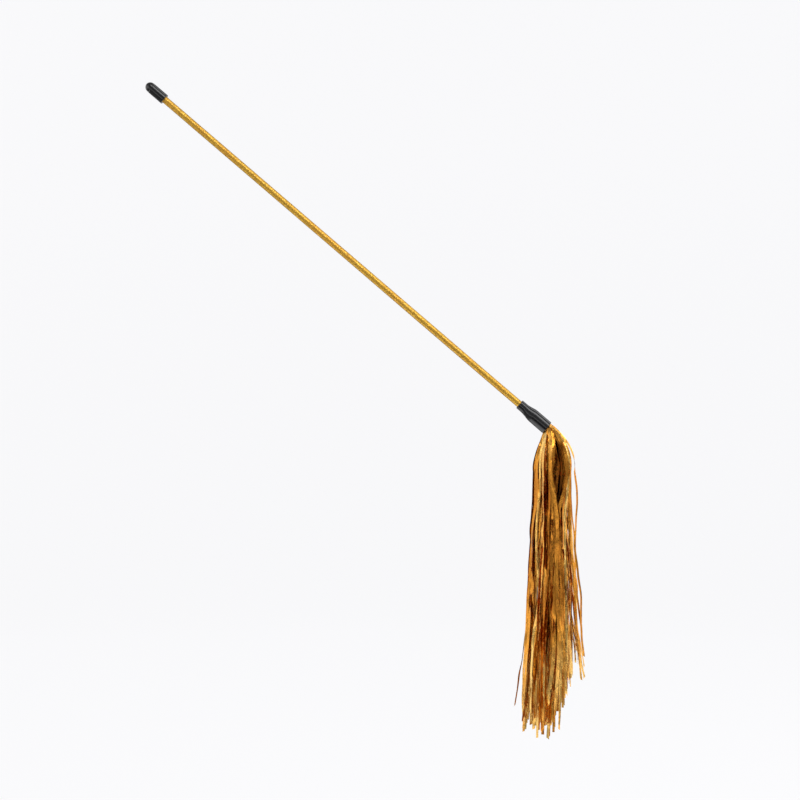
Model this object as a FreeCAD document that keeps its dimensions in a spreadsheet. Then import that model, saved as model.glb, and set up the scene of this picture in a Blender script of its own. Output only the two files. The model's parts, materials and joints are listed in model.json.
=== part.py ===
import FreeCAD, Part
import math
import os
import Sketcher
from FreeCAD import Placement, Rotation, Vector

# A cheer wand with a foil tassel: a thin glitter stick with a soft cap on its held end and a stepped
# sleeve on its far end, from whose mouth a bundle of foil strips hangs straight down.
# Millimetres, +Z up. The stick slopes down towards +X. The origin is on the stick's axis, midway along
# the straight wall of the end cap, where a hand or a stand holds the wand.

os.makedirs("parts", exist_ok=True)
doc = FreeCAD.newDocument("cheer_wand")
dims = doc.addObject("Spreadsheet::Sheet", "dims")

DIMENSIONS = [
    # the stick: distances along it run from the cap's tip to the sleeve's mouth
    ("tilt", "40.65"),
    ("overall", "400"),
    ("stick_r", "2.7"),
    ("film_wall", "0.12"),
    ("core_r", "=stick_r - film_wall"),
    # end cap
    ("cap_r", "4"),
    ("cap_len", "18.2"),
    ("cap_tip", "0"),
    ("cap_floor", "2.2"),
    ("cap_lip", "0.35"),
    ("nose_round", "3.5"),
    ("origin_at", "=(nose_round + cap_len - cap_lip) / 2"),
    # stepped sleeve
    ("collar_r", "3.8"),
    ("collar_len", "6.3"),
    ("flare_len", "6.2"),
    ("sleeve_r", "5.2"),
    ("sleeve_len", "15"),
    ("sleeve_wall", "0.9"),
    ("bore_r", "=sleeve_r - sleeve_wall"),
    ("sleeve_at", "=overall - sleeve_len"),
    ("flare_at", "=sleeve_at - flare_len"),
    ("collar_at", "=flare_at - collar_len"),
    ("sleeve_edge", "0.3"),
    # what the sleeve hides: glue, the rolled header of the foil and its binding
    ("stick_end", "=sleeve_at + 10.2"),
    ("film_end", "=flare_at + 2"),
    ("glue_at", "=film_end + 0.6"),
    ("glue_end", "=sleeve_at - 0.4"),
    ("glue_r", "=stick_r + 0.35"),
    ("header_at", "=sleeve_at + 0.6"),
    ("header_end", "=stick_end + 0.6"),
    ("header_r", "3.8"),
    ("thread_r", "0.22"),
    ("thread_turns", "7"),
    ("thread_at", "=header_at + 1.4"),
    ("root_r", "=bore_r - 0.1"),
    ("waist_r", "3.6"),
    ("root_end", "=overall + 0.3"),
    # the tassel: depths run down from the pivot just outside the sleeve's mouth
    ("pivot_reach", "5"),
    ("pivot_x", "=(overall + pivot_reach - origin_at) * cos(tilt)"),
    ("pivot_z", "=-(overall + pivot_reach - origin_at) * sin(tilt)"),
    ("ball_r", "4.1"),
    ("ball_mid_r", "=ball_r * 0.87"),
    ("ball_mid_z", "=ball_r * 0.5"),
    ("throat_r", "4.5"),
    ("throat_z", "-4.4"),
    ("sway_z", "-24"),
    ("crown_r", "13.4"),
    ("cup_r", "=crown_r + 0.4"),
    ("cup_top", "=sway_z + cup_r"),
    ("shoulder_r", "9.4"),
    ("shoulder_z", "=sway_z + sqrt(cup_r ^ 2 - shoulder_r ^ 2)"),
    ("crown_top", "=sway_z + crown_r"),
    ("crown_end", "-43"),
    ("crown_end_r", "14"),
    # locks of strips below the crown
    ("lock_pitch", "5.2"),
    ("lock_fit", "0.94"),
    ("lock_top_r", "=lock_pitch / 2 * lock_fit"),
    ("flare_depth", "46"),
    ("cut_depth", "220"),
    ("cut_slant", "30"),
]

for row, (alias, content) in enumerate(DIMENSIONS, 1):
    dims.set(f"A{row}", alias)
    dims.setAlias(f"B{row}", alias)
    dims.set(f"B{row}", content)
doc.recompute()


def size(alias):
    """The number held by a named cell."""
    return float(dims.get(alias))


def add_outline(body, corners, arc_after=None):
    """A closed outline on the body's XZ plane. Each corner is a pair of cell names, or 0 for an axis.

    The edge that leaves corner number arc_after is an arc about a point of the vertical axis.
    """
    sketch = body.newObject("Sketcher::SketchObject", body.Name + "_outline")
    origin = body.Origin.OriginFeatures
    plane = next(f for f in origin if f.Role == "XZ_Plane")
    sketch.AttachmentSupport = (plane, [""])
    sketch.MapMode = "FlatFace"
    points = [Vector(a and size(a), b and size(b), 0) for a, b in corners]
    for i, start in enumerate(points):
        end = points[(i + 1) % len(points)]
        if i == arc_after:
            half = ((end.x ** 2 + end.y ** 2) - (start.x ** 2 + start.y ** 2)) / 2
            centre = Vector(0, half / (end.y - start.y), 0)
            ring = Part.Circle(centre, Vector(0, 0, 1), (start - centre).Length)
            turns = sorted(math.atan2(p.y - centre.y, p.x - centre.x) for p in (start, end))
            sketch.addGeometry(Part.ArcOfCircle(ring, *turns), False)
            sketch.addConstraint(Sketcher.Constraint("PointOnObject", i, 3, -2))
        else:
            sketch.addGeometry(Part.LineSegment(start, end), False)
    # an arc always runs anticlockwise, so each edge's two ends are read back
    ends = []
    for i, start in enumerate(points):
        edge = sketch.Geometry[i]
        ends.append((1, 2) if edge.StartPoint.distanceToPoint(start) < 1e-6 else (2, 1))
    for i in range(len(points)):
        following = (i + 1) % len(points)
        sketch.addConstraint(
            Sketcher.Constraint("Coincident", i, ends[i][1], following, ends[following][0])
        )
    for i, (across, up) in enumerate(corners):
        for kind, cell, axis in (("DistanceX", across, -2), ("DistanceY", up, -1)):
            if cell:
                place = sketch.addConstraint(
                    Sketcher.Constraint(kind, -1, 1, i, ends[i][0], size(cell))
                )
                sketch.setExpression(f"Constraints[{place}]", "dims." + cell)
            else:
                sketch.addConstraint(Sketcher.Constraint("PointOnObject", i, ends[i][0], axis))
    return sketch


def turned(name, corners, about="X_Axis", arc_after=None):
    """A body turned from an outline about one axis of its own."""
    body = doc.addObject("PartDesign::Body", name)
    sketch = add_outline(body, corners, arc_after)
    turn = body.newObject("PartDesign::Revolution", name + "_turned")
    turn.Profile = sketch
    turn.ReferenceAxis = (next(f for f in body.Origin.OriginFeatures if f.Role == about), [""])
    turn.Angle = 360
    body.Tip = turn
    doc.recompute()
    return body


def on_stick(body):
    """Lays a body, drawn along its own X axis from the cap's tip, on the sloping stick."""
    body.Placement = Placement(Vector(), Rotation(Vector(0, 1, 0), size("tilt")))
    body.setExpression("Placement.Rotation.Angle", "dims.tilt")
    body.setExpression("Placement.Base.x", "-dims.origin_at * cos(dims.tilt)")
    body.setExpression("Placement.Base.z", "dims.origin_at * sin(dims.tilt)")
    return body


def at_pivot(thing):
    """Puts a body's own origin at the tassel's pivot."""
    thing.setExpression("Placement.Base.x", "dims.pivot_x")
    thing.setExpression("Placement.Base.z", "dims.pivot_z")
    return thing


def rounded(body, radius_cell, along, out):
    """Rounds the circular edges of the body's tip that lie at one place on the outline."""
    base = body.Tip
    names = []
    for number, edge in enumerate(base.Shape.Edges, 1):
        curve = edge.Curve
        if curve.TypeId != "Part::GeomCircle" or abs(curve.Radius - size(out)) > 1e-4:
            continue
        if abs(curve.Center.x - size(along)) < 1e-4:
            names.append(f"Edge{number}")
    if not names:
        raise ValueError(body.Name + ": no edge to round")
    fillet = body.newObject("PartDesign::Fillet", f"{body.Name}_rounded_{along}")
    fillet.Base = (base, names)
    fillet.Radius = size(radius_cell)
    fillet.setExpression("Radius", "dims." + radius_cell)
    body.Tip = fillet
    doc.recompute()


made = []

# end cap: a closed tube with a domed nose
cap = turned(
    "end_cap",
    [
        (0, 0),
        (0, "cap_r"),
        ("cap_len", "cap_r"),
        ("cap_len", "stick_r"),
        ("cap_floor", "stick_r"),
        ("cap_floor", 0),
    ],
)
rounded(cap, "nose_round", "cap_tip", "cap_r")
rounded(cap, "cap_lip", "cap_len", "cap_r")
made.append(on_stick(cap))

# the stick and the glitter film around it
core = turned(
    "stick_core",
    [("cap_floor", 0), ("cap_floor", "core_r"), ("stick_end", "core_r"), ("stick_end", 0)],
)
made.append(on_stick(core))
film = turned(
    "glitter_film",
    [
        ("cap_floor", "core_r"),
        ("cap_floor", "stick_r"),
        ("film_end", "stick_r"),
        ("film_end", "core_r"),
    ],
)
made.append(on_stick(film))

# stepped sleeve: a narrow collar that grips the stick, a flare and a wide open mouth
sleeve = turned(
    "ferrule",
    [
        ("collar_at", "stick_r"),
        ("collar_at", "collar_r"),
        ("flare_at", "collar_r"),
        ("sleeve_at", "sleeve_r"),
        ("overall", "sleeve_r"),
        ("overall", "bore_r"),
        ("sleeve_at", "bore_r"),
        ("flare_at", "stick_r"),
    ],
)
rounded(sleeve, "sleeve_edge", "collar_at", "collar_r")
rounded(sleeve, "sleeve_edge", "overall", "sleeve_r")
made.append(on_stick(sleeve))

# adhesive bead on the stick, in the hollow of the flare
glue = turned(
    "adhesive_bead",
    [
        ("glue_at", "core_r"),
        ("glue_at", "stick_r"),
        ("glue_end", "glue_r"),
        ("glue_end", "core_r"),
    ],
)
made.append(on_stick(glue))

# uncut header of the foil, rolled around the end of the stick
header = turned(
    "header_roll",
    [
        ("header_at", "core_r"),
        ("header_at", "header_r"),
        ("header_end", "header_r"),
        ("header_end", 0),
        ("stick_end", 0),
        ("stick_end", "core_r"),
    ],
)
made.append(on_stick(header))

# binding thread: close turns around the header, one ring for each turn, joined where they touch
thread = doc.addObject("Part::MultiFuse", "binding_thread")
turns = []
for turn in range(int(size("thread_turns"))):
    ring = doc.addObject("Part::Torus", f"thread_turn_{turn + 1}")
    ring.Placement = Placement(Vector(), Rotation(Vector(0, 1, 0), 90))
    ring.setExpression("Radius1", "dims.header_r + dims.thread_r")
    ring.setExpression("Radius2", "dims.thread_r")
    ring.setExpression("Placement.Base.x", f"dims.thread_at + {turn} * 1.7 * dims.thread_r")
    turns.append(ring)
thread.Shapes = turns
made.append(on_stick(thread))

# root of the tassel: the strips, packed tight between the header and the mouth
root = turned(
    "tassel_root",
    [
        ("header_end", 0),
        ("header_end", "waist_r"),
        ("overall", "root_r"),
        ("root_end", "waist_r"),
        ("root_end", 0),
    ],
)
made.append(on_stick(root))

# neck: a ball at the pivot that opens like a trumpet and ends in a hollow about the sway axis
neck = turned(
    "tassel_neck",
    [
        (0, "ball_r"),
        ("ball_mid_z", "ball_mid_r"),
        ("ball_r", 0),
        ("throat_r", "throat_z"),
        ("shoulder_r", "shoulder_z"),
        (0, "cup_top"),
    ],
    about="Z_Axis",
    arc_after=4,
)
made.append(at_pivot(neck))

# crown: the gathered top of the hanging strips, round about the sway axis
crown = turned(
    "tassel_crown",
    [
        (0, "crown_top"),
        ("crown_r", "sway_z"),
        ("crown_end_r", "crown_end"),
        (0, "crown_end"),
    ],
    about="Z_Axis",
    arc_after=0,
)
made.append(at_pivot(crown))

# Locks of strips. Sixteen leave the crown in a square grid and settle into two rings, four inside
# and twelve outside. Ring places are shares of the tassel's radius at that depth.
INNER = 0.244
OUTER = 0.2056
LEVELS = [(62, 15.3), (95, 17.6), (130, 19.6), (170, 21.4)]


def ring_place(column, row):
    """Centre and radius of a lock in the round tassel, from its place in the square grid."""
    if abs(column) < 1 and abs(row) < 1:
        return 2 * column * INNER, 2 * row * INNER, INNER
    near, far, corner = 0.2588 * (1 - OUTER), 0.9659 * (1 - OUTER), 0.7071 * (1 - OUTER)
    if abs(column) > 1 and abs(row) > 1:
        across, deep = corner, corner
    else:
        across, deep = (far, near) if abs(column) > 1 else (near, far)
    return across * (1 if column > 0 else -1), deep * (1 if row > 0 else -1), OUTER


def circle(name, across, deep, down, radius):
    """A level circle. Its place and radius are formulas, measured from the tassel's pivot."""
    ring = doc.addObject("Part::Circle", name)
    ring.setExpression("Radius", radius)
    ring.setExpression("Placement.Base.x", f"dims.pivot_x + {across}")
    ring.setExpression("Placement.Base.y", deep)
    ring.setExpression("Placement.Base.z", f"dims.pivot_z - ({down})")
    return ring


def lock(name, column, row):
    """One lock of strips, from its blunt top in the crown's grid to its cut end."""
    across, deep, share = ring_place(column, row)
    grid_x, grid_y = f"{column} * dims.lock_pitch", f"{row} * dims.lock_pitch"
    top = "dims.lock_top_r"
    if max(abs(column), abs(row)) > 1:
        # an outer lock turns about its top, so its shoulders stay inside a ball about that point
        heads = [("dims.flare_depth - 0.9 * " + top, f"0.35 * {top}")]
        heads.append(("dims.flare_depth - 0.65 * " + top, f"0.72 * {top}"))
        heads.append(("dims.flare_depth", top))
    else:
        heads = [("-dims.crown_end", top), ("dims.flare_depth", top)]
    rings = [
        circle(f"{name}_head_{i}", grid_x, grid_y, down, radius)
        for i, (down, radius) in enumerate(heads)
    ]
    # the ends are cut level, except that they step up towards the right
    end = f"dims.cut_depth - dims.cut_slant * {max(across, 0):.4f}"
    levels = LEVELS + [(end, LEVELS[-1][1])]
    for i, (down, reach) in enumerate(levels):
        radius = f"{share} * {reach} * dims.lock_fit"
        rings.append(circle(f"{name}_{i}", f"{across * reach:.4f}", f"{deep * reach:.4f}", down, radius))
    loft = doc.addObject("Part::Loft", name)
    loft.Sections = rings
    loft.Solid = True
    loft.Ruled = True
    return loft


PLACES = [-1.5, -0.5, 0.5, 1.5]
groups = {
    "core": [(c, r) for c in PLACES[1:3] for r in PLACES[1:3]],
    "right": [(1.5, r) for r in PLACES],
    "left": [(-1.5, r) for r in PLACES],
    "back": [(c, 1.5) for c in PLACES[1:3]],
    "front": [(c, -1.5) for c in PLACES[1:3]],
}
for side, places in groups.items():
    for number, (column, row) in enumerate(places, 1):
        made.append(lock(f"{side}_lock_{number}", column, row))

doc.recompute()
for thing in doc.Objects:
    if "Invalid" in thing.State or "Error" in thing.State:
        raise ValueError(f"{thing.Name}: {thing.State}")
for thing in made:
    shape = thing.Shape
    if shape.isNull() or not shape.isValid() or len(shape.Solids) != 1:
        raise ValueError(f"{thing.Name}: {len(shape.Solids)} solids, valid {shape.isValid()}")
    shape.exportStep(f"parts/{thing.Name}.step")
    print(f"{thing.Name}: {shape.Volume:.1f} mm3")
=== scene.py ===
import json
import math

import bmesh
import bpy
import numpy as np
from mathutils import Matrix, Vector


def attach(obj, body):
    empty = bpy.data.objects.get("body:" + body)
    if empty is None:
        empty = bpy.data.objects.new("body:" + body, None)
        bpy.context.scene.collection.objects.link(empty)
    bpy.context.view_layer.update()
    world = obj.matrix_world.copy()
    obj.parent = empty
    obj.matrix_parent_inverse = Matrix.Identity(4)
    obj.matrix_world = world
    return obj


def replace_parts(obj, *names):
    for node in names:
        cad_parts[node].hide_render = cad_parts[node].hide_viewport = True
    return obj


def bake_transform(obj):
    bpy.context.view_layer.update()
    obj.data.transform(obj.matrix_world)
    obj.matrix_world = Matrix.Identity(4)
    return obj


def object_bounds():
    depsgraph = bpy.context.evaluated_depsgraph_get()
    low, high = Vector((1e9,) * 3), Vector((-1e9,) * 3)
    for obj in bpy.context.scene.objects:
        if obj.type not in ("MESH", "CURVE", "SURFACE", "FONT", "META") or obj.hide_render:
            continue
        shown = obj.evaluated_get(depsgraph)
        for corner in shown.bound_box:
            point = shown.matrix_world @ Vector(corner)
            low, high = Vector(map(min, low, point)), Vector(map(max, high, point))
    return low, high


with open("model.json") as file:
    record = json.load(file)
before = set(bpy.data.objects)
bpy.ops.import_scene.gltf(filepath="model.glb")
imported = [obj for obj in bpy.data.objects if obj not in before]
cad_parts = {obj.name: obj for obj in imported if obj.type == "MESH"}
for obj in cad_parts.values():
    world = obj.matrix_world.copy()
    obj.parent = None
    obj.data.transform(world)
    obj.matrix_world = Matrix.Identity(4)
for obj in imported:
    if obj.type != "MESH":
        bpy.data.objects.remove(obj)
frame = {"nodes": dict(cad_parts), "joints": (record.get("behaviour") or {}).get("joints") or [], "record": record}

# A cheer wand: a gold glitter stick with a black cap and sleeve, and a tassel of foil strips.
# Metres, in the CAD's frame. The stick is drawn along its own axis, from the cap's tip, and the
# tassel is drawn down from the pivot just outside the sleeve's mouth.

cad_box = [list(corner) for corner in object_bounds()]
rng = np.random.default_rng(5)

JOINTS = {j["name"]: j for j in frame["joints"]}
MOUNTS = {m["name"]: m for m in frame["record"]["mounts"]}
PIVOT = Vector(JOINTS["tassel_swing"]["pos_m"])
FLARE_DEPTH = PIVOT.z - JOINTS["right_flare"]["pos_m"][2]
ALONG = -Vector(MOUNTS["cap_end"]["axis"]).normalized()  # from the cap to the mouth
ACROSS = Vector((-ALONG.z, 0, ALONG.x))  # the stick's upper side
DEEP = Vector((0, 1, 0))

# The CAD's own sizes: lengths along the stick from the cap's tip, and radii
OVERALL = 0.400
PIVOT_REACH = 0.005
MOUTH = PIVOT - ALONG * PIVOT_REACH
TIP = MOUTH - ALONG * OVERALL

STICK_R = 0.0027
FILM_WALL = 0.00012
FIT = 0.00002  # the gap between the stick and what is pushed over it
CAP_R, CAP_LEN, CAP_FLOOR = 0.004, 0.0182, 0.0022
CAP_NOSE, DOME_LEN = 0.0056, 0.0042
COLLAR_R, COLLAR_LEN, FLARE_LEN = 0.0038, 0.0063, 0.0062
SLEEVE_R, SLEEVE_LEN, SLEEVE_WALL = 0.0052, 0.015, 0.0009
BORE_R = SLEEVE_R - SLEEVE_WALL
SLEEVE_AT = OVERALL - SLEEVE_LEN
FLARE_AT = SLEEVE_AT - FLARE_LEN
COLLAR_AT = FLARE_AT - COLLAR_LEN
FILM_END = FLARE_AT + 0.002
HEADER_AT, HEADER_END = SLEEVE_AT + 0.0006, SLEEVE_AT + 0.0108
HEADER_R = 0.0038

AROUND = 96  # steps round a turned piece
SHARP = math.radians(40)  # a bend between two faces that stays a sharp edge


def place(along, out, angle):
    """A point beside the stick: distance from the cap's tip, distance from the axis, and angle."""
    return TIP + ALONG * along + (ACROSS * math.cos(angle) + DEEP * math.sin(angle)) * out


# ---------------------------------------------------------------- materials


class Nodes:
    """A material's node tree, with short calls to add and join nodes."""

    def __init__(self, name, **fixed):
        self.material = bpy.data.materials.new(name)
        self.material.use_nodes = True
        self.tree = self.material.node_tree
        self.tree.nodes.clear()
        self.shader = self.add("ShaderNodeBsdfPrincipled")
        output = self.add("ShaderNodeOutputMaterial")
        self.tree.links.new(self.shader.outputs["BSDF"], output.inputs["Surface"])
        for socket, value in fixed.items():
            self.shader.inputs[socket.replace("_", " ")].default_value = value
        self.place = self.add("ShaderNodeTexCoord").outputs["Object"]

    def add(self, kind, **settings):
        node = self.tree.nodes.new(kind)
        for key, value in settings.items():
            setattr(node, key, value)
        return node

    def feed(self, socket, value):
        if isinstance(value, bpy.types.NodeSocket):
            self.tree.links.new(value, socket)
        else:
            socket.default_value = value

    def stretched(self, *scale):
        """The place in the object, scaled along each axis."""
        node = self.add("ShaderNodeMapping")
        self.feed(node.inputs["Vector"], self.place)
        node.inputs["Scale"].default_value = scale
        return node.outputs["Vector"]

    def noise(self, scale, detail=3.0, where=None):
        node = self.add("ShaderNodeTexNoise")
        self.feed(node.inputs["Vector"], where or self.place)
        node.inputs["Scale"].default_value = scale
        node.inputs["Detail"].default_value = detail
        return node.outputs["Fac"]

    def cells(self, scale, where=None):
        """A random colour for each cell."""
        node = self.add("ShaderNodeTexVoronoi")
        self.feed(node.inputs["Vector"], where or self.place)
        node.inputs["Scale"].default_value = scale
        return node.outputs["Color"]

    def grey(self, colour):
        """One number from a colour, such as a cell's own random value."""
        node = self.add("ShaderNodeSeparateColor")
        self.feed(node.inputs["Color"], colour)
        return node.outputs["Red"]

    def remap(self, value, low, high, to_low, to_high):
        node = self.add("ShaderNodeMapRange")
        for socket, number in zip(node.inputs, (value, low, high, to_low, to_high)):
            self.feed(socket, number)
        return node.outputs["Result"]

    def maths(self, operation, a, b):
        node = self.add("ShaderNodeMath", operation=operation)
        self.feed(node.inputs[0], a)
        self.feed(node.inputs[1], b)
        return node.outputs["Value"]

    def blend(self, share, a, b, mode="MIX"):
        """Two colours mixed. The node's colour sockets share their names with its other kinds."""
        colour_a, colour_b, result = 6, 7, 2
        node = self.add("ShaderNodeMix", data_type="RGBA", blend_type=mode)
        self.feed(node.inputs["Factor"], share)
        self.feed(node.inputs[colour_a], a)
        self.feed(node.inputs[colour_b], b)
        return node.outputs[result]

    def ramp(self, value, *stops):
        node = self.add("ShaderNodeValToRGB")
        self.feed(node.inputs["Fac"], value)
        marks = node.color_ramp.elements
        while len(marks) < len(stops):
            marks.new(0.5)
        for mark, (position, colour) in zip(marks, stops):
            mark.position = position
            mark.color = (*colour, 1)
        return node.outputs["Color"]

    def value_of(self, attribute):
        return self.add("ShaderNodeAttribute", attribute_name=attribute).outputs["Fac"]

    def bump(self, height, strength, distance, over=None):
        node = self.add("ShaderNodeBump")
        node.inputs["Strength"].default_value = strength
        node.inputs["Distance"].default_value = distance
        self.feed(node.inputs["Height"], height)
        if over:
            self.feed(node.inputs["Normal"], over)
        return node.outputs["Normal"]

    def facets(self, colour, tilt):
        """The surface's normal, leaned another way in each cell of a random colour."""
        centred = self.add("ShaderNodeVectorMath", operation="SUBTRACT")
        self.feed(centred.inputs[0], colour)
        centred.inputs[1].default_value = (0.5, 0.5, 0.5)
        scaled = self.add("ShaderNodeVectorMath", operation="SCALE")
        self.feed(scaled.inputs[0], centred.outputs["Vector"])
        self.feed(scaled.inputs["Scale"], tilt)
        total = self.add("ShaderNodeVectorMath", operation="ADD")
        self.feed(total.inputs[0], self.add("ShaderNodeNewGeometry").outputs["Normal"])
        self.feed(total.inputs[1], scaled.outputs["Vector"])
        unit = self.add("ShaderNodeVectorMath", operation="NORMALIZE")
        self.feed(unit.inputs[0], total.outputs["Vector"])
        return unit.outputs["Vector"]

    def finish(self, colour, roughness, normal):
        self.feed(self.shader.inputs["Base Color"], colour)
        self.feed(self.shader.inputs["Roughness"], roughness)
        self.feed(self.shader.inputs["Normal"], normal)
        return self.material


def vinyl_material(name, dark, light, rough):
    """Soft black vinyl: glossy, faintly mottled, with a fine orange peel and a few scuffs."""
    n = Nodes(name, Specular_IOR_Level=0.26, Coat_Weight=0.8, Coat_Roughness=0.14)
    mottle = n.noise(260, 4)
    scuff = n.remap(n.noise(90, 6, n.stretched(1, 1, 7)), 0.58, 0.72, 0, 1)
    colour = n.blend(mottle, (*dark, 1), (*light, 1))
    roughness = n.maths("ADD", n.remap(mottle, 0.3, 0.7, rough - 0.04, rough + 0.05),
                        n.maths("MULTIPLY", scuff, 0.14))
    normal = n.bump(n.noise(900, 2), 0.025, 0.0001)
    return n.finish(colour, roughness, normal)


def glitter_material(name):
    """Gold glitter film: small flakes that each lean their own way, under a clear gloss."""
    n = Nodes(name, Metallic=0.92, Coat_Weight=0.12, Coat_Roughness=0.2)
    flakes = n.cells(2600)
    chance = n.grey(flakes)
    tone = n.ramp(chance, (0.0, (0.50, 0.265, 0.03)), (0.3, (0.64, 0.36, 0.043)),
                  (0.75, (0.73, 0.42, 0.055)), (1.0, (0.88, 0.58, 0.12)))
    patch = n.remap(n.noise(110, 3, n.stretched(0.6, 1, 0.6)), 0.42, 0.62, 0.0, 0.45)
    colour = n.blend(patch, tone, (0.72, 0.34, 0.05, 1))
    roughness = n.remap(chance, 0, 1, 0.50, 0.34)
    normal = n.bump(n.noise(400, 2), 0.12, 0.0002, over=n.facets(flakes, 0.3))
    return n.finish(colour, roughness, normal)


def foil_material(name):
    """Metallised gold foil: each strip has its own tone, with a fine sparkle and soft creases."""
    n = Nodes(name, Metallic=0.95)
    strip = n.value_of("tone")
    drift = n.remap(n.noise(75, 3, n.stretched(1, 1, 0.35)), 0.35, 0.65, -0.16, 0.16)
    # tones below 0 are only met in the painted shade inside the tassel, and the ramp's darkest stop is that
    # painted shade
    shade = n.remap(n.maths("ADD", strip, drift), -1.0, 1.0, 0.0, 1.0)
    dark_gold = (0.44, 0.14, 0.014)
    tone = n.ramp(shade, (0.0, (0.10, 0.035, 0.006)), (0.3, dark_gold), (0.5, dark_gold),
                  (0.65, (0.68, 0.265, 0.032)), (0.775, (0.90, 0.385, 0.05)), (1.0, (1.0, 0.63, 0.18)))
    grains = n.cells(2300)
    sparkle = n.ramp(n.grey(grains), (0.0, (0.66, 0.62, 0.58)), (0.6, (0.92, 0.92, 0.92)),
                     (1.0, (1.0, 1.0, 1.0)))
    colour = n.blend(1.0, tone, sparkle, "MULTIPLY")
    roughness = n.remap(n.noise(200, 3, n.stretched(1, 1, 0.3)), 0.35, 0.65, 0.14, 0.38)
    creases = n.cells(430, where=n.stretched(1, 1, 0.5))
    leaning = n.blend(0.38, creases, grains)
    soft = n.bump(n.noise(500, 3, n.stretched(1, 1, 0.3)), 0.2, 0.0003, over=n.facets(leaning, 0.46))
    return n.finish(colour, roughness, soft)


def plain_material(name, dark, light, rough, scale, height):
    """A mottled, slightly uneven plastic or fibre for the hidden pieces."""
    n = Nodes(name)
    mottle = n.noise(scale, 4)
    colour = n.blend(mottle, (*dark, 1), (*light, 1))
    roughness = n.remap(mottle, 0.3, 0.7, rough - 0.08, rough + 0.08)
    return n.finish(colour, roughness, n.bump(n.noise(scale * 4, 3), 0.3, height))


CAP_VINYL = vinyl_material("cap_vinyl", (0.002, 0.002, 0.0025), (0.005, 0.005, 0.006), 0.17)
SLEEVE_VINYL = vinyl_material("sleeve_vinyl", (0.003, 0.003, 0.0035), (0.007, 0.007, 0.008), 0.19)
GLITTER = glitter_material("glitter_film")
FOIL = foil_material("foil")
CORE = plain_material("core_plastic", (0.62, 0.58, 0.50), (0.75, 0.72, 0.65), 0.5, 120, 0.0001)
ADHESIVE = plain_material("adhesive", (0.70, 0.62, 0.42), (0.86, 0.80, 0.66), 0.35, 300, 0.0002)
THREAD = plain_material("thread", (0.62, 0.59, 0.50), (0.82, 0.80, 0.73), 0.8, 2500, 0.0002)

for node, material in (("stick_core", CORE), ("adhesive_bead", ADHESIVE), ("binding_thread", THREAD)):
    frame["nodes"][node].data.materials.clear()
    frame["nodes"][node].data.materials.append(material)


# ---------------------------------------------------------------- the wand


def new_piece(name, bm, material, body):
    """A finished mesh as a piece that rides on a body."""
    mesh = bpy.data.meshes.new(name)
    bm.to_mesh(mesh)
    bm.free()
    mesh.materials.append(material)
    piece = bpy.data.objects.new(name, mesh)
    bpy.context.scene.collection.objects.link(piece)
    if body:
        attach(piece, body)
    return piece


def shade_smooth(bm):
    """Faces that look outwards and are smooth, apart from sharp edges."""
    bmesh.ops.recalc_face_normals(bm, faces=bm.faces)
    for face in bm.faces:
        face.smooth = True
    for edge in bm.edges:
        if len(edge.link_faces) == 2 and edge.calc_face_angle(0) > SHARP:
            edge.smooth = False


def join_rings(bm, ring, following):
    """Faces between two rings, either of which may be a single point."""
    faces = []
    for k in range(AROUND):
        corners = [ring[k % len(ring)], ring[(k + 1) % len(ring)],
                   following[(k + 1) % len(following)], following[k % len(following)]]
        corners = list(dict.fromkeys(corners))
        if len(corners) > 2:
            faces.append(bm.faces.new(corners))
    return faces


def softened(corners):
    """An outline of (along, out, rounding) corners, with each rounded corner as a short curve."""
    line = []
    count, steps = len(corners), 6
    for i, (along, out, rounding) in enumerate(corners):
        here = Vector((along, out))
        if not rounding:
            line.append(here)
            continue
        ends = []
        for corner in (corners[i - 1], corners[(i + 1) % count]):
            side = Vector(corner[:2]) - here
            most = 0.49 if corner[2] else 0.95
            ends.append(here + side.normalized() * min(rounding, side.length * most))
        start, end = ends
        for k in range(steps + 1):
            t = k / steps
            line.append(start * (1 - t) ** 2 + here * 2 * t * (1 - t) + end * t ** 2)
    return line


def lathe(name, corners, material, uneven=0.0, waves=0.0):
    """A closed turned piece on the stick's axis. A corner on the axis closes to a point."""
    line = softened(corners)
    bm = bmesh.new()
    rings = []
    for along, out in line:
        if out < 1e-6:
            rings.append([bm.verts.new(place(along, 0, 0))])
            continue
        ring = []
        for k in range(AROUND):
            angle = 2 * math.pi * k / AROUND
            wobble = uneven * math.sin(3 * angle + along * waves) * math.sin(angle + along * waves * 0.37)
            ring.append(bm.verts.new(place(along, out + wobble, angle)))
        rings.append(ring)
    for ring, following in zip(rings, rings[1:] + rings[:1]):
        join_rings(bm, ring, following)
    shade_smooth(bm)
    return new_piece(name, bm, material, "wand")


def make_cap():
    """Domed cap with a fine raised ring where the nose begins and a soft lip at its open end."""
    ring, shoulder, steps = 0.00016, CAP_R - 0.00014, 12
    dome = []
    for k in range(steps + 1):
        angle = math.pi / 2 * k / steps
        dome.append((DOME_LEN * (1 - math.cos(angle)), shoulder * math.sin(angle), 0))
    cap = lathe("cap_shell", dome + [
        (CAP_NOSE - ring, shoulder, 0.0001),
        (CAP_NOSE, CAP_R + 0.00004, 0.00012),
        (CAP_NOSE + 2 * ring, CAP_R - 0.00002, 0.0001),
        (CAP_LEN * 0.72, CAP_R, 0.001),
        (CAP_LEN, CAP_R, 0.00045),
        (CAP_LEN, STICK_R + FIT, 0.0002),
        (CAP_FLOOR, STICK_R + FIT, 0.0008),
        (CAP_FLOOR, 0, 0),
    ], CAP_VINYL)
    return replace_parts(cap, "end_cap")


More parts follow.
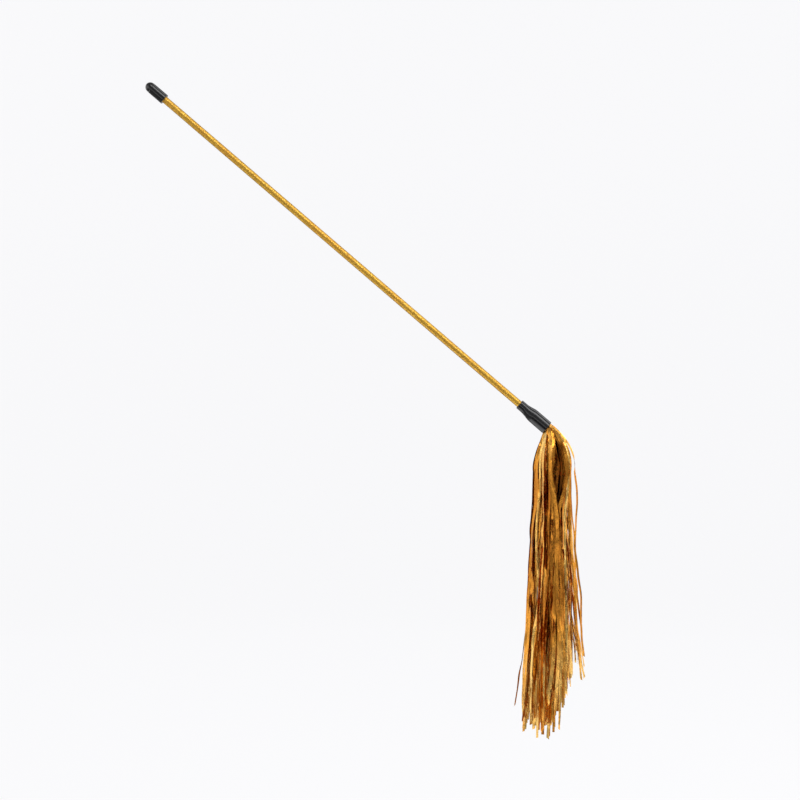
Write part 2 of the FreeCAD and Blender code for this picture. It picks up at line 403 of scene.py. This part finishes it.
def make_sleeve():
    """Stepped sleeve: collar, soft flare, wide mouth with a rounded lip, and the bore inside."""
    sleeve = lathe("sleeve_shell", [
        (COLLAR_AT, STICK_R + FIT, 0.0002),
        (COLLAR_AT, COLLAR_R, 0.0005),
        (FLARE_AT, COLLAR_R, 0.0022),
        (SLEEVE_AT, SLEEVE_R, 0.0022),
        (OVERALL, SLEEVE_R, 0.0005),
        (OVERALL, BORE_R, 0.0003),
        (SLEEVE_AT, BORE_R, 0.001),
        (FLARE_AT, STICK_R + FIT, 0.001),
    ], SLEEVE_VINYL, uneven=0.00004, waves=900)
    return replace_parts(sleeve, "ferrule")


def make_film():
    """Glitter film wrapped round the stick, with the low step of its own overlap winding along it."""
    around, pitch, step = 72, 0.0012, 0.00009
    seam_start, seam_turn = 2.2, 3.0
    count = int((FILM_END - CAP_FLOOR) / pitch)
    bm = bmesh.new()
    outer, inner = [], []
    for i in range(count + 1):
        along = CAP_FLOOR + (FILM_END - CAP_FLOOR) * i / count
        seam = seam_start + along * seam_turn
        ripple = 0.00001 * math.sin(along * 520) * math.sin(along * 171)
        outer.append([])
        inner.append([])
        for k in range(around + 1):
            turn = k / around
            angle = seam + 2 * math.pi * turn
            out = STICK_R - step * (1 - turn) + ripple * math.sin(math.pi * turn)
            outer[-1].append(bm.verts.new(place(along, out, angle)))
            inner[-1].append(bm.verts.new(place(along, STICK_R - FILM_WALL, angle)))
    for i in range(count):
        for k in range(around):
            bm.faces.new([outer[i][k], outer[i + 1][k], outer[i + 1][k + 1], outer[i][k + 1]])
            bm.faces.new([inner[i][k], inner[i][k + 1], inner[i + 1][k + 1], inner[i + 1][k]])
        for k in (0, around):
            bm.faces.new([outer[i][k], outer[i + 1][k], inner[i + 1][k], inner[i][k]])
    for i in (0, count):
        for k in range(around):
            bm.faces.new([outer[i][k], outer[i][k + 1], inner[i][k + 1], inner[i][k]])
    shade_smooth(bm)
    film = new_piece("glitter_wrap", bm, GLITTER, "wand")
    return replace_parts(film, "glitter_film")


make_cap()
make_film()
make_sleeve()


# ---------------------------------------------------------------- the foil

STRIPS = 168
STRIP_WIDTH = 0.0026
TURNS = 21
ROLL_IN, ROLL_OUT = STICK_R + 0.00005, HEADER_R - 0.00005


def tone_layer(bm):
    """The attribute that the foil's material reads each strip's tone from, which for the strips also carries
    painted light and shade.
    """
    return bm.verts.layers.float.new("tone")


def roll_radius(turn):
    """Radius of the rolled header after a number of turns."""
    return ROLL_IN + (ROLL_OUT - ROLL_IN) * turn / TURNS


def make_header():
    """The uncut edge of the foil sheet, rolled round the end of the stick."""
    bm = bmesh.new()
    per_turn, length, even_tone = 48, 0.0, 0.5
    rows, before = [], None
    for k in range(TURNS * per_turn + 1):
        turn = k / per_turn
        out, angle = roll_radius(turn), 2 * math.pi * turn
        ends = [bm.verts.new(place(along, out, angle)) for along in (HEADER_AT, HEADER_END)]
        if before:
            length += (ends[0].co - before).length
        before = ends[0].co.copy()
        rows.append(ends)
    for (a, b), (c, d) in zip(rows, rows[1:]):
        bm.faces.new([a, b, d, c]).smooth = True
    tone = tone_layer(bm)
    for vert in bm.verts:
        vert[tone] = even_tone
    roll = new_piece("rolled_header", bm, FOIL, "wand")
    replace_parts(roll, "header_roll")


make_header()

# The tassel's radius at depths below the pivot, and where its strips stop
REACH = [(0.030, 0.0139), (0.048, 0.0144), (0.062, 0.0149), (0.095, 0.0165), (0.130, 0.0185),
         (0.170, 0.0204), (0.240, 0.0222)]
GATHER_DEPTH = 0.030

# A strip's line: how far it reaches into the rolled header, its share of the bore, its rows in the
# sleeve and over the arch, the step between the rows below, the length of a bow, and about how long
# the whole strip is
HEADER_LAP, MOUTH_FILL = 0.001, 0.93
SLEEVE_ROWS, ARCH_ROWS, ROW_STEP = 6, 22, 0.0021
BOW_LENGTH = 0.030
STRIP_LENGTH = 0.24
CUT_DEPTH, CUT_SLANT = 0.2195, 0.042

# Strips hang together in clumps, which they drift towards below the gathered part
CLUMPS = 27
CLUMP_PULL = 0.42

# Some outer strips on the right fan out, and are narrower and shorter. Those on the left only splay
FAN_FROM, FAN_SHARE, FAN_SPLAY, FAN_WIDTH, FAN_SHORTER = 0.5, 0.55, 0.0040, 0.7, 0.018
LEFT_FAN_FROM, LEFT_FAN_SPLAY = -0.6, 0.0024

# Painted shade: how much darker the foil's tone is painted on the strips behind the front parting
SHADE = 1.3

# Where outer strips part and show the dark inside: angle round the tassel in degrees, depths of
# the parting's top, widest place and bottom, and half its width
PARTINGS = [
    (-66, -0.012, 0.026, 0.066, 0.0070),
    (-103, 0.080, 0.160, 0.240, 0.0021),
    (-138, 0.034, 0.080, 0.150, 0.0006),
    (-48, 0.060, 0.120, 0.180, 0.0008),
    (62, 0.030, 0.075, 0.150, 0.0012),
    (118, 0.060, 0.130, 0.200, 0.0012),
    (20, 0.090, 0.150, 0.200, 0.0009),
    (168, 0.100, 0.150, 0.205, 0.0010),
]

# Where the pieces change hands between bodies: down the slanting throat, then down the tassel
THROAT_START = PIVOT - ALONG * 0.0048
THROAT_END = PIVOT + Vector((0.0015, 0, -0.0095))
LOCK_START, LOCK_END = FLARE_DEPTH - 0.009, FLARE_DEPTH + 0.013
LOCK_TOP = LOCK_START - 0.001


def lock_of(across, deep):
    """The CAD lock that a strip belongs to, from its place in the round tassel."""
    out = math.hypot(across, deep)
    if out < 0.57:
        return f"core_lock_{1 + (deep > 0) + 2 * (across > 0)}"
    angle = math.degrees(math.atan2(deep, across))
    if abs(angle) < 60:
        return f"right_lock_{1 + sum(angle > a for a in (-30, 0, 30))}"
    if abs(angle) > 120:
        turned = angle % 360 - 180
        return f"left_lock_{4 - sum(turned > a for a in (-30, 0, 30))}"
    side = "back" if deep > 0 else "front"
    return f"{side}_lock_{1 + (across > 0)}"


def smooth(value):
    """0 before 0, 1 after 1, and a soft step between them."""
    held = min(max(value, 0.0), 1.0)
    return held * held * (3 - 2 * held)


def reach_at(depth):
    """The tassel's radius at a depth."""
    depths, radii = zip(*REACH)
    return float(np.interp(depth, depths, radii))


def wander(count, length, wave, size):
    """A smooth random line through evenly spaced random points."""
    knots = max(4, int(length / wave) + 2)
    values = rng.normal(0, size, knots)
    places = np.linspace(0, knots - 1, count)
    low = np.minimum(places.astype(int), knots - 2)
    share = places - low
    share = share * share * (3 - 2 * share)
    return values[low] * (1 - share) + values[low + 1] * share


def bends(count, number, wide, size):
    """A few local swings at random places along a line."""
    places = np.linspace(0, 1, count)
    line = np.zeros(count)
    for _ in range(number):
        line += rng.normal(0, size) * np.exp(-((places - rng.random()) / wide) ** 2)
    return line


def parted(across, deep, depth):
    """How far a strip is pushed aside by the partings, in radii of the round tassel."""
    nearby = 0.42
    out = math.hypot(across, deep)
    angle = math.atan2(deep, across)
    shift = 0.0
    for degrees, top, widest, bottom, half in PARTINGS:
        away = (angle - math.radians(degrees) + math.pi) % (2 * math.pi) - math.pi
        opened = smooth((depth - top) / (widest - top)) * smooth((bottom - depth) / (bottom - widest))
        near = math.exp(-(away / nearby) ** 2)
        shift += math.copysign(half, away) * opened * near
    # only the outer strips are pushed
    turned = shift * smooth((out - 0.35) / 0.3) / reach_at(depth)
    return Vector((-math.sin(angle) * turned, math.cos(angle) * turned))


# Each clump's place in the round tassel, tone, turn from facing outwards, and drift of its lower end.
# A paler clump turns further to the side, where the light is
golden = math.pi * (3 - math.sqrt(5))
clump_places, clump_tones, clump_turns, clump_drifts = [], [], [], []
for c in range(CLUMPS):
    out = math.sqrt((c + 0.5) / CLUMPS)
    angle = golden * c + rng.normal(0, 0.1)
    clump_places.append(Vector((out * math.cos(angle), out * math.sin(angle))))
    clump_tones.append(rng.uniform(0.05, 0.85))
    clump_turns.append(rng.choice([-1, 1]) * (0.12 + 0.62 * clump_tones[-1]))
    clump_drifts.append(Vector((rng.normal(0, 0.16), rng.normal(0, 0.12))))


def strip_line(strip):
    """The centre line of one strip from the header to its cut end, and the way its face looks."""
    across, deep = strip.across, strip.deep
    points, faces = [], []
    # in the sleeve: from its own turn of the rolled header to its place in the mouth
    start = place(HEADER_END - HEADER_LAP, roll_radius(strip.turn), strip.angle)
    mouth = MOUTH + (ACROSS * across + DEEP * deep) * BORE_R * MOUTH_FILL
    bore_face = (ACROSS * across + DEEP * deep).normalized()
    for k in range(SLEEVE_ROWS):
        points.append(start.lerp(mouth, smooth(k / SLEEVE_ROWS)))
        faces.append(bore_face)
    # out of the mouth and over: strips from the upper side keep the stick's own direction longer.
    # At the back they are spread evenly, and in front they come in two groups, apart from each other
    in_front = smooth((-deep + 0.05) / 0.4)
    evenly = 0.0028 + 0.0096 * (across + 1) / 2
    apart = 0.0020 + 0.0104 * smooth((across - 0.26) / 0.16) + 0.0006 * across
    push = evenly + (apart - evenly) * in_front + rng.normal(0, 0.0007)
    fall = 0.0145 + 0.0015 * across + rng.normal(0, 0.001)
    spread = rng.uniform(0.93, 1.05)

    def hung(depth):
        """The strip's place at a depth below the pivot, between its own place and its clump's."""
        pull = CLUMP_PULL * (0.35 + 0.65 * smooth((depth - 0.03) / 0.05))
        held = Vector((across, deep)).lerp(strip.clump, pull) + parted(across, deep, depth)
        held += strip.drift * smooth((depth - 0.040) / 0.180)
        radius = reach_at(depth) * (spread + (1 - spread) * 0.3 * min(1, depth / 0.2))
        return Vector((held.x * radius, held.y * radius, -depth))

    def bowed(depth):
        """How far the strip bows out at a depth."""
        return strip.bow * math.exp(-((depth - strip.bow_at) / BOW_LENGTH) ** 2)

    tassel_face = Vector((across, deep, 0)).normalized()
    gathered = PIVOT + hung(GATHER_DEPTH) + tassel_face * bowed(GATHER_DEPTH)
    first = mouth + ALONG * max(push, 0.0015) + DEEP * deep * 0.004
    second = gathered + Vector((across * 0.0016, deep * 0.0012, fall))
    for k in range(ARCH_ROWS):
        t = k / ARCH_ROWS
        s = 1 - t
        points.append(mouth * s ** 3 + first * 3 * s * s * t + second * 3 * s * t * t + gathered * t ** 3)
        faces.append(bore_face.lerp(tassel_face, t))
    # straight down to the cut, with the slow wander and the small kinks of a light strip
    length = strip.cut - GATHER_DEPTH
    count = max(12, int(length / ROW_STEP))
    side = wander(count, length, wave=0.05, size=0.0009)
    depthwise = wander(count, length, wave=0.05, size=0.0007)
    kink_side = wander(count, length, wave=0.012, size=0.00014)
    kink_deep = wander(count, length, wave=0.012, size=0.00012)
    for k in range(count):
        t = k / (count - 1)
        depth = GATHER_DEPTH + length * t
        ease = min(1, t * 6)
        loose = max(0.0, depth - strip.cut + strip.loose)
        splay = strip.splay * (loose / strip.loose) ** 1.6
        kinks = Vector((kink_side[k], kink_deep[k], 0)) * strip.kinks
        shift = (Vector((side[k], depthwise[k], 0)) + kinks) * ease
        points.append(PIVOT + hung(depth) + tassel_face * (splay + bowed(depth)) + shift)
        faces.append(tassel_face)
    return points, faces


def ribbon_rows(points, faces, width, twist, curl):
    """Three points across the strip at each place: two edges and a middle that is pushed out."""
    rows = []
    count = len(points)
    for i, (here, face) in enumerate(zip(points, faces)):
        ahead = (points[min(i + 1, count - 1)] - points[max(i - 1, 0)]).normalized()
        out = (face - ahead * face.dot(ahead)).normalized()
        out.rotate(Matrix.Rotation(twist[i], 3, ahead))
        across = ahead.cross(out)
        half = width / 2
        rise = out * curl[i]
        rows.append([here - across * half - rise, here + rise, here + across * half - rise])
    return rows


def cut_rows(rows, distance):
    """Splits a strip's rows where a signed distance of its middle changes from below 0 to above."""
    values = [distance(row[1]) for row in rows]
    for i in range(1, len(rows)):
        if values[i] >= 0:
            share = -values[i - 1] / (values[i] - values[i - 1]) if values[i] > values[i - 1] else 0
            share = min(max(share, 0.0), 1.0)
            seam = [a.lerp(b, share) for a, b in zip(rows[i - 1], rows[i])]
            return rows[:i] + [seam], [seam] + rows[i:]
    return rows, []


def past_throat(point):
    """Above 0 where a point is past the throat's blend, and a little more."""
    line = THROAT_END - THROAT_START
    return (point - THROAT_START).dot(line) / line.length_squared - 1.02


def past_depth(depth):
    """A test that is above 0 where a point is deeper than a depth."""
    return lambda point: (PIVOT.z - depth) - point.z


def paler(depth):
    """How much lighter the foil's tone is painted at a depth: painted light in the throat and at the tips, and a
    little darker between.
    """
    return 0.28 * smooth((0.040 - depth) / 0.035) + 0.46 * smooth((depth - 0.110) / 0.090) - 0.05


def painted_shade_at(point):
    """How far a place is in the painted shade of the tassel's inside, behind the parting at the front."""
    depth = PIVOT.z - point.z
    radius = reach_at(depth)
    across, deep = (point.x - PIVOT.x) / radius, (point.y - PIVOT.y) / radius
    inside = smooth((deep + 0.80) / 0.25) * smooth((0.70 - deep) / 0.25)
    behind = math.exp(-((across - 0.37) / 0.25) ** 4)
    return inside * behind * smooth((depth - 0.004) / 0.010) * smooth((0.070 - depth) / 0.025)


class Fringe:
    """Strips gathered into one mesh, with each strip's own tone as an attribute, to which each row adds its
    painted light and painted shade.
    """

    def __init__(self, name):
        self.name = name
        self.bm = bmesh.new()
        self.tone = tone_layer(self.bm)
        self.strips = 0
        self.area = 0.0
        self.length = 0.0

    def add(self, rows, tone, width):
        """Adds a strip's rows. Its flat area is its cut width times its own length."""
        if len(rows) < 2:
            return
        grid = []
        for row in rows:
            grid.append([self.bm.verts.new(p) for p in row])
            for vert in grid[-1]:
                # each row's tone: the strip's own tone, plus the painted light of its depth, less the painted
                # shade behind the front parting
                vert[self.tone] = tone + paler(PIVOT.z - row[1].z) - SHADE * painted_shade_at(row[1])
        for (a, b, c), (d, e, f) in zip(grid, grid[1:]):
            for corners in ([a, b, e, d], [b, c, f, e]):
                self.bm.faces.new(corners).smooth = True
        length = sum((b[1] - a[1]).length for a, b in zip(rows, rows[1:]))
        self.area += width * length
        self.length = max(self.length, length)
        self.strips += 1

    def piece(self, body, rests_on):
        """The finished piece, riding on a body when one is given."""
        made = new_piece(self.name, self.bm, FOIL, body)
        return made


class Strip:
    """One strip's place in the round tassel, its length and width, and how far it stands off."""

    def __init__(self, out, angle):
        self.angle = angle
        self.across, self.deep = out * math.cos(angle), out * math.sin(angle)
        here = Vector((self.across, self.deep))
        self.turn = TURNS * out ** 2
        nearest = min(range(CLUMPS), key=lambda c: (clump_places[c] - here).length)
        self.clump = clump_places[nearest]
        self.facing = clump_turns[nearest] + rng.normal(0, 0.16)
        self.tone = float(np.clip(clump_tones[nearest] + rng.normal(0, 0.14), 0, 1))
        self.width = STRIP_WIDTH * rng.uniform(0.6, 1.15)
        drift = clump_drifts[nearest] + Vector((rng.normal(0, 0.20), rng.normal(0, 0.16)))
        # its end's place, which stays inside the tassel's round
        end = here + drift
        end *= min(1.0, 1.0 / end.length)
        self.drift = end - here
        # the cut slants up to the right, and there no strip hangs below the slant
        uneven = rng.normal(0, 0.0048)
        if end.x > 0.1:
            uneven = -abs(uneven)
        self.cut = CUT_DEPTH - CUT_SLANT * max(end.x + 0.05, 0) ** 1.1 + uneven
        # how far it bows out and at what depth, and how far its end splays over its loose length
        self.bow, self.bow_at = 0.0, 0.0
        self.splay, self.loose = 0.0, rng.uniform(0.06, 0.11)
        self.kinks = 1.0 if out < 0.85 else 1.7
        if self.across > FAN_FROM and rng.random() < FAN_SHARE:
            self.splay = rng.uniform(0.0, FAN_SPLAY)
            self.width *= FAN_WIDTH
            self.cut -= rng.uniform(0.0, FAN_SHORTER)
        elif self.across < LEFT_FAN_FROM:
            self.splay = rng.uniform(0.0, LEFT_FAN_SPLAY)


# Single strips that stand off from the rest: angle round the tassel in degrees, how far they bow
# out and at what depth, how far they splay at the end, their cut depth, how they face, and tone
STRAYS = [
    (-8, 0.0046, 0.048, 0.000, 0.128, 0.9, 0.45),
    (-14, 0.0030, 0.122, 0.002, 0.158, 0.8, 0.3),
    (-24, 0.0012, 0.135, 0.004, 0.169, 1.0, 0.4),
    (4, 0.0014, 0.110, 0.0058, 0.186, 1.2, 0.5),
    (-30, 0.0006, 0.100, 0.0062, 0.186, 0.7, 0.4),
    (187, 0.0004, 0.100, 0.0060, 0.207, 0.9, 0.6),
    (150, 0.0006, 0.080, 0.003, 0.200, 0.8, 0.7),
    (-47, 0.0008, 0.040, 0.001, 0.165, 0.7, 1.1),
    (184, 0.0010, 0.020, 0.001, 0.190, 0.9, 0.8),
]


STRAY_OUT = 0.99
STRAY_WIDTH, STRAY_LOOSE = STRIP_WIDTH * 0.62, 0.06


def make_strips():
    """The bundle's strips, spread evenly over the round tassel, and then the strays."""
    strips = []
    for i in range(STRIPS):
        out = math.sqrt((i + 0.6) / STRIPS) * rng.uniform(0.96, 1.0)
        strips.append(Strip(out, golden * i + rng.normal(0, 0.05)))
    for degrees, bow, bow_at, splay, cut, facing, tone in STRAYS:
        strip = Strip(STRAY_OUT, math.radians(degrees))
        strip.bow, strip.bow_at, strip.splay, strip.cut = bow, bow_at, splay, cut
        strip.facing, strip.tone = facing, tone
        strip.width, strip.loose = STRAY_WIDTH, STRAY_LOOSE
        strips.append(strip)
    return strips


def make_tassel():
    """Every strip of the tassel, split where the CAD's bodies meet."""
    throat, crown, locks = Fringe("strips_throat"), Fringe("strips_crown"), {}
    for strip in make_strips():
        points, faces = strip_line(strip)
        count = len(points)
        twist = strip.facing + np.cumsum(rng.normal(0, 0.012, count))
        twist += wander(count, STRIP_LENGTH, wave=0.045, size=0.16)
        twist += bends(count, number=4, wide=0.03, size=0.5)
        # the bore holds a strip's face outwards
        twist[:SLEEVE_ROWS + 2] *= 0.3
        curl = 0.0001 * (rng.choice([-1, 1]) + wander(count, STRIP_LENGTH, wave=0.03, size=0.6))
        rows = ribbon_rows(points, faces, strip.width, twist, curl)
        # each end is cut a little askew
        slant = rng.normal(0, 0.0005)
        rows[-1][0] += Vector((0, 0, slant))
        rows[-1][2] -= Vector((0, 0, slant))
        top, rest = cut_rows(rows, past_throat)
        middle, low = cut_rows(rest, past_depth(LOCK_TOP))
        throat.add(top, strip.tone, strip.width)
        crown.add(middle, strip.tone, strip.width)
        name = lock_of(strip.across, strip.deep)
        locks.setdefault(name, Fringe("strips_" + name)).add(low, strip.tone, strip.width)
    return throat, crown, locks


throat, crown, locks = make_tassel()
throat_piece = throat.piece(None, ["rolled_header", "sleeve_shell"])
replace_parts(throat_piece, "tassel_root", "tassel_neck")
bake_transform(throat_piece)
crown_piece = crown.piece(None, ["strips_throat"])
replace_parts(crown_piece, "tassel_crown")
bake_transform(crown_piece)
for name, lock in sorted(locks.items()):
    side = name.split("_")[0]
    piece = lock.piece("fall" if side == "core" else None, ["strips_crown"])
    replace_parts(piece, name)
    if side != "core":
        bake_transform(piece)


# ---------------------------------------------------------------- stage, light and camera

# How brightly the backdrop shines, and how brightly the tent does that the gold mirrors: at the
# sides, in front and behind, the share of that left overhead and low down, a low band, and the floor
GLOW = 0.87
TENT_SIDES, TENT_FRONT, TENT_TOP, TENT_SKIRT = 1.3, 0.34, 0.30, 0.25
TENT_LOW, TENT_FLOOR = 1.5, 1.6


def make_backdrop(centre):
    """A round pale floor that curves up into a wall on every side."""
    floor, radius, bend, wall = PIVOT.z - 0.36, 2.6, 0.9, 2.6
    outline, steps = [(0.0, floor), (radius - bend, floor)], 16
    for k in range(1, steps + 1):
        angle = math.pi / 2 * k / steps
        outline.append((radius - bend + bend * math.sin(angle), floor + bend - bend * math.cos(angle)))
    outline.append((radius, floor + wall))
    bm = bmesh.new()
    rings = []
    for out, height in outline:
        ring = []
        for k in range(AROUND if out else 1):
            angle = 2 * math.pi * k / AROUND
            ring.append(bm.verts.new((centre.x + out * math.cos(angle), out * math.sin(angle), height)))
        rings.append(ring)
    for ring, following in zip(rings, rings[1:]):
        for face in join_rings(bm, following, ring):
            face.smooth = True
    mesh = bpy.data.meshes.new("backdrop")
    bm.to_mesh(mesh)
    bm.free()
    n = Nodes("backdrop_paper", Roughness=0.95, Emission_Strength=GLOW)
    n.shader.inputs["Base Color"].default_value = (0.12, 0.12, 0.122, 1)
    n.shader.inputs["Emission Color"].default_value = (0.985, 0.985, 1.0, 1)
    mesh.materials.append(n.material)
    backdrop = bpy.data.objects.new("backdrop", mesh)
    bpy.context.scene.collection.objects.link(backdrop)
    # the tent's own light is the world's, so the paper is only seen, and not mirrored in the gold
    backdrop.visible_glossy = False
    backdrop.visible_diffuse = False


def make_tent():
    """Plain soft light all round: bright at the sides, dim elsewhere, with a pale floor."""
    world = bpy.data.worlds.new("studio")
    world.use_nodes = True
    tree = world.node_tree
    background = tree.nodes["Background"]

    def node(kind, **settings):
        made = tree.nodes.new(kind)
        for key, value in settings.items():
            setattr(made, key, value)
        return made

    def step(value, low, high, to_low, to_high):
        made = node("ShaderNodeMapRange", interpolation_type="SMOOTHSTEP")
        for socket, number in zip(made.inputs[1:5], (low, high, to_low, to_high)):
            socket.default_value = number
        tree.links.new(value, made.inputs["Value"])
        return made.outputs["Result"]

    def maths(operation, *values):
        made = node("ShaderNodeMath", operation=operation)
        for socket, value in zip(made.inputs, values):
            tree.links.new(value, socket)
        return made.outputs["Value"]

    # Z is the height of a direction, from -1 straight down to 1 straight up
    parts = node("ShaderNodeSeparateXYZ")
    tree.links.new(node("ShaderNodeTexCoord").outputs["Generated"], parts.inputs["Vector"])
    sides = step(maths("ABSOLUTE", parts.outputs["Y"]), 0.45, 0.97, TENT_SIDES, TENT_FRONT)
    height = parts.outputs["Z"]
    overhead = step(height, 0.36, 0.62, 1.0, TENT_TOP)
    skirt = step(height, -0.36, -0.20, TENT_SKIRT, 1.0)
    wall = maths("MULTIPLY", maths("MULTIPLY", sides, overhead), skirt)
    low = maths("MULTIPLY", step(height, -0.17, -0.07, TENT_LOW, 0.0), step(height, -0.30, -0.21, 0.0, 1.0))
    floor = step(height, -0.77, -0.62, TENT_FLOOR, 0.0)
    strength = maths("MAXIMUM", wall, maths("MAXIMUM", low, floor))
    tree.links.new(strength, background.inputs["Strength"])
    background.inputs["Color"].default_value = (0.99, 0.99, 1.0, 1)
    bpy.context.scene.world = world


def soft_light(name, offset, size, power, target, long_way):
    """A soft box that faces a point, with its second size along the way given."""
    data = bpy.data.lights.new(name, "AREA")
    data.shape = "RECTANGLE"
    data.size, data.size_y = size
    data.energy = power
    back = Vector(offset).normalized()
    upright = (long_way - back * long_way.dot(back)).normalized()
    lamp = bpy.data.objects.new(name, data)
    lamp.location = target + Vector(offset)
    lamp.rotation_euler = Matrix((upright.cross(back), upright, back)).transposed().to_euler()
    lamp.visible_camera = False
    bpy.context.scene.collection.objects.link(lamp)


def make_camera(centre):
    """A long lens that looks level at the wand, with the tassel low and right of the middle."""
    data = bpy.data.cameras.new("camera")
    data.lens = 85
    field = 0.6064  # the width that the view takes in at the wand
    distance = field * data.lens / data.sensor_width
    camera = bpy.data.objects.new("camera", data)
    camera.location = centre + Vector((0, -distance, 0))
    camera.rotation_euler = (math.pi / 2, 0, 0)
    bpy.context.scene.collection.objects.link(camera)
    bpy.context.scene.camera = camera


lowest, highest = Vector(cad_box[0]), Vector(cad_box[1])
middle = (lowest + highest) / 2
middle.y = 0
view_shift = Vector((0.0288, 0, 0.0016))
upward = Vector((0, 0, 1))
beside_stick = ALONG + ACROSS * 0.7
make_backdrop(middle)
make_tent()
make_camera(middle + view_shift)
soft_light("key", (0.92, -1.25, 1.42), (0.85, 2.2), 19, middle, beside_stick)
soft_light("fill", (-1.5, -1.2, 0.3), (0.7, 1.4), 1.5, middle, upward)
soft_light("rim", (0.9, 0.35, 1.0), (0.4, 1.4), 3, middle, upward)
bpy.context.scene.view_settings.view_transform = "Standard"
